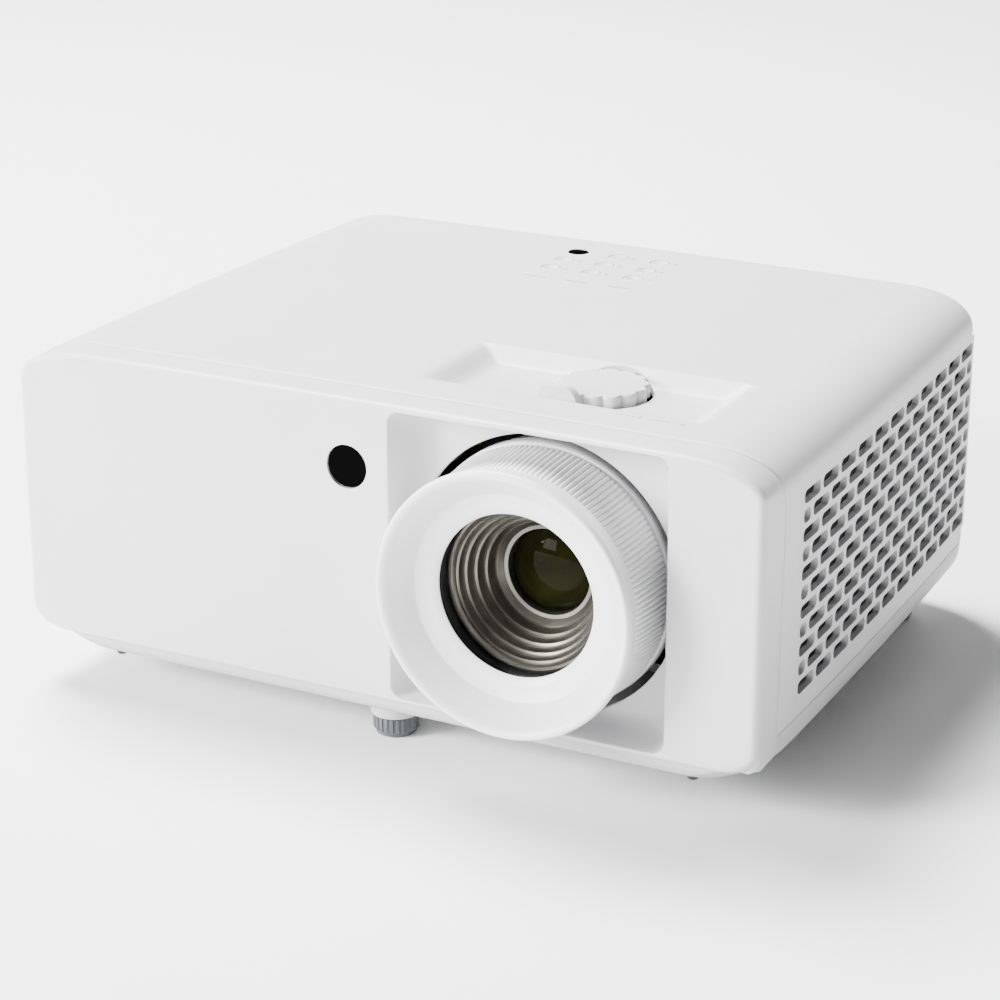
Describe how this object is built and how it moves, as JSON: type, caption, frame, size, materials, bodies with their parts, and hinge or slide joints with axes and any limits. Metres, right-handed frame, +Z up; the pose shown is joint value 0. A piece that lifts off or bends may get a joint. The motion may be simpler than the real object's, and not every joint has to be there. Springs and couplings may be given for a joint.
{
  "type": "home projector",
  "caption": "Low white case with a flared focus ring set in an off-centre front recess, slotted sides, a keypad and shift dial on top, and screw feet.",
  "frame": {"origin": "on the surface it stands on, below the centre of its bounding box", "axes": "+X to the lens side of the case, +Y from the lens to the connector panel, +Z up"},
  "size_m": [0.274, 0.2336, 0.1232],
  "materials": {
    "case_white": "fine satin white moulded plastic",
    "base_grey": "satin off-white moulded plastic",
    "grille_white": "satin white moulded plastic",
    "window_black": "polished near-black infrared filter",
    "key_white": "satin white keys",
    "light_pipe": "milky translucent light guide",
    "circuit_green": "solder-masked board with parts",
    "ring_white": "satin white, finely ribbed grip",
    "barrel_black": "matt black anti-reflection",
    "baffle_silver": "turned steps, warm silver",
    "lens_glass": "coated optical glass",
    "cell_dark": "dark moulded cell",
    "plated_steel": "zinc-plated",
    "carriage_grey": "dark die casting",
    "dial_white": "satin white scalloped wheel",
    "knob_grey": "mid-grey moulded knob",
    "rubber_dark": "dark rubber",
    "engine_metal": "dark die-cast magnesium",
    "fin_aluminium": "extruded fins",
    "laser_brass": "laser diode block",
    "phosphor_yellow": "phosphor-coated disc",
    "fan_black": "glass-filled black",
    "socket_steel": "stamped socket shell",
    "socket_black": "black connector body",
    "audio_green": "coloured jack ring",
    "panel_grey": "light grey connector panel"
  },
  "bodies": {
    "case": {"front_bezel": "case_white", "top_cover": "case_white", "bottom_case": "base_grey", "side_grille_left": "grille_white", "side_grille_right": "grille_white", "front_ir_window": "window_black", "top_ir_window": "window_black", "status_light_pipe": "light_pipe", "keypad_board": "circuit_green", "lens_shift_base": "plated_steel", "bumper_left": "rubber_dark", "bumper_right": "rubber_dark", "light_engine": "engine_metal", "chip_heatsink": "fin_aluminium", "laser_heatsink": "fin_aluminium", "laser_bank": "laser_brass", "intake_fan_frame": "fan_black", "exhaust_fan_frame": "fan_black", "power_supply": "circuit_green", "main_board": "circuit_green", "speaker": "fan_black", "video_port_1": "socket_steel", "video_port_2": "socket_steel", "data_port": "socket_steel", "serial_port": "socket_steel", "lan_port": "socket_black", "audio_jack": "audio_green", "power_inlet": "socket_black", "rear_panel": "panel_grey", "case_screw_1": "plated_steel", "case_screw_2": "plated_steel", "case_screw_3": "plated_steel", "case_screw_4": "plated_steel"},
    "lens": {"lens_carriage": "carriage_grey", "lens_barrel": "barrel_black", "rear_lens_element": "lens_glass"},
    "focus_ring": {"focus_ring": "ring_white"},
    "focus_group": {"focus_cell": "baffle_silver", "front_lens_element": "lens_glass"},
    "zoom_ring": {"zoom_ring": "ring_white"},
    "zoom_group": {"zoom_cell": "cell_dark", "zoom_lens_element": "lens_glass"},
    "dial": {"shift_dial": "dial_white"},
    "phosphor_wheel": {"phosphor_wheel": "phosphor_yellow"},
    "intake_rotor": {"intake_fan_rotor": "fan_black"},
    "exhaust_rotor": {"exhaust_fan_rotor": "fan_black"},
    "key_source": {"key_source": "key_white"},
    "key_menu": {"key_menu": "key_white"},
    "key_left": {"key_left": "key_white"},
    "key_enter": {"key_enter": "key_white"},
    "key_right": {"key_right": "key_white"},
    "key_power": {"key_power": "key_white"},
    "key_down": {"key_down": "key_white"},
    "key_back": {"key_back": "key_white"},
    "front_foot_stem": {"front_foot_stem": "plated_steel"},
    "front_foot_knob": {"front_foot_knob": "knob_grey"},
    "rear_foot_left_stem": {"rear_foot_left_stem": "plated_steel"},
    "rear_foot_left_knob": {"rear_foot_left_knob": "knob_grey"},
    "rear_foot_right_stem": {"rear_foot_right_stem": "plated_steel"},
    "rear_foot_right_knob": {"rear_foot_right_knob": "knob_grey"}
  },
  "joints": [
    {"name": "lens_shift", "type": "slide", "parent": "case", "child": "lens", "axis": [0, 0, 1], "range_m": [-0.002, 0.002]},
    {"name": "shift_dial_turn", "type": "hinge", "parent": "case", "child": "dial", "pos_m": [0.056, -0.04275, 0.118], "axis": [0, 0, 1], "range_deg": [-180, 180]},
    {"name": "focus_turn", "type": "hinge", "parent": "lens", "child": "focus_ring", "pos_m": [0.0564, -0.09925, 0.0685], "axis": [0, 1, 0], "range_deg": [-60, 60]},
    {"name": "focus_travel", "type": "slide", "parent": "lens", "child": "focus_group", "axis": [0, 1, 0], "range_m": [-0.0012, 0.0012]},
    {"name": "zoom_turn", "type": "hinge", "parent": "lens", "child": "zoom_ring", "pos_m": [0.0564, -0.07925, 0.0685], "axis": [0, 1, 0], "range_deg": [-30, 30]},
    {"name": "zoom_travel", "type": "slide", "parent": "lens", "child": "zoom_group", "axis": [0, 1, 0], "range_m": [-0.0025, 0.0025]},
    {"name": "phosphor_spin", "type": "hinge", "parent": "case", "child": "phosphor_wheel", "pos_m": [0, 0.01875, 0.066], "axis": [1, 0, 0], "continuous": true},
    {"name": "intake_fan_spin", "type": "hinge", "parent": "case", "child": "intake_rotor", "pos_m": [-0.121, 0.00075, 0.068], "axis": [1, 0, 0], "continuous": true},
    {"name": "exhaust_fan_spin", "type": "hinge", "parent": "case", "child": "exhaust_rotor", "pos_m": [0.117, 0.05075, 0.068], "axis": [1, 0, 0], "continuous": true},
    {"name": "key_source_press", "type": "slide", "parent": "case", "child": "key_source", "axis": [0, 0, -1], "range_m": [0, 0.0006], "stiffness_N_per_m": 1500},
    {"name": "key_menu_press", "type": "slide", "parent": "case", "child": "key_menu", "axis": [0, 0, -1], "range_m": [0, 0.0006], "stiffness_N_per_m": 1500},
    {"name": "key_left_press", "type": "slide", "parent": "case", "child": "key_left", "axis": [0, 0, -1], "range_m": [0, 0.0006], "stiffness_N_per_m": 1500},
    {"name": "key_enter_press", "type": "slide", "parent": "case", "child": "key_enter", "axis": [0, 0, -1], "range_m": [0, 0.0006], "stiffness_N_per_m": 1500},
    {"name": "key_right_press", "type": "slide", "parent": "case", "child": "key_right", "axis": [0, 0, -1], "range_m": [0, 0.0006], "stiffness_N_per_m": 1500},
    {"name": "key_power_press", "type": "slide", "parent": "case", "child": "key_power", "axis": [0, 0, -1], "range_m": [0, 0.0006], "stiffness_N_per_m": 1500},
    {"name": "key_down_press", "type": "slide", "parent": "case", "child": "key_down", "axis": [0, 0, -1], "range_m": [0, 0.0006], "stiffness_N_per_m": 1500},
    {"name": "key_back_press", "type": "slide", "parent": "case", "child": "key_back", "axis": [0, 0, -1], "range_m": [0, 0.0006], "stiffness_N_per_m": 1500},
    {"name": "front_foot_height", "type": "slide", "parent": "case", "child": "front_foot_stem", "axis": [0, 0, -1], "range_m": [0, 0.01]},
    {"name": "front_foot_turn", "type": "hinge", "parent": "front_foot_stem", "child": "front_foot_knob", "pos_m": [-0.0015, -0.08055, 0.003], "axis": [0, 0, -1], "range_deg": [0, 3600]},
    {"name": "rear_foot_left_height", "type": "slide", "parent": "case", "child": "rear_foot_left_stem", "axis": [0, 0, -1], "range_m": [0, 0.01]},
    {"name": "rear_foot_left_turn", "type": "hinge", "parent": "rear_foot_left_stem", "child": "rear_foot_left_knob", "pos_m": [-0.112, 0.09075, 0.003], "axis": [0, 0, -1], "range_deg": [0, 3600]},
    {"name": "rear_foot_right_height", "type": "slide", "parent": "case", "child": "rear_foot_right_stem", "axis": [0, 0, -1], "range_m": [0, 0.01]},
    {"name": "rear_foot_right_turn", "type": "hinge", "parent": "rear_foot_right_stem", "child": "rear_foot_right_knob", "pos_m": [0.112, 0.09075, 0.003], "axis": [0, 0, -1], "range_deg": [0, 3600]}
  ],
  "couplings": [
    {"joint": "shift_dial_turn", "follows": "lens_shift", "rad_per_m": 1570.8},
    {"joint": "focus_travel", "follows": "focus_turn", "m_per_rad": 0.0011459},
    {"joint": "zoom_travel", "follows": "zoom_turn", "m_per_rad": 0.0047746},
    {"joint": "front_foot_turn", "follows": "front_foot_height", "rad_per_m": 6283.2},
    {"joint": "rear_foot_left_turn", "follows": "rear_foot_left_height", "rad_per_m": 6283.2},
    {"joint": "rear_foot_right_turn", "follows": "rear_foot_right_height", "rad_per_m": 6283.2}
  ]
}
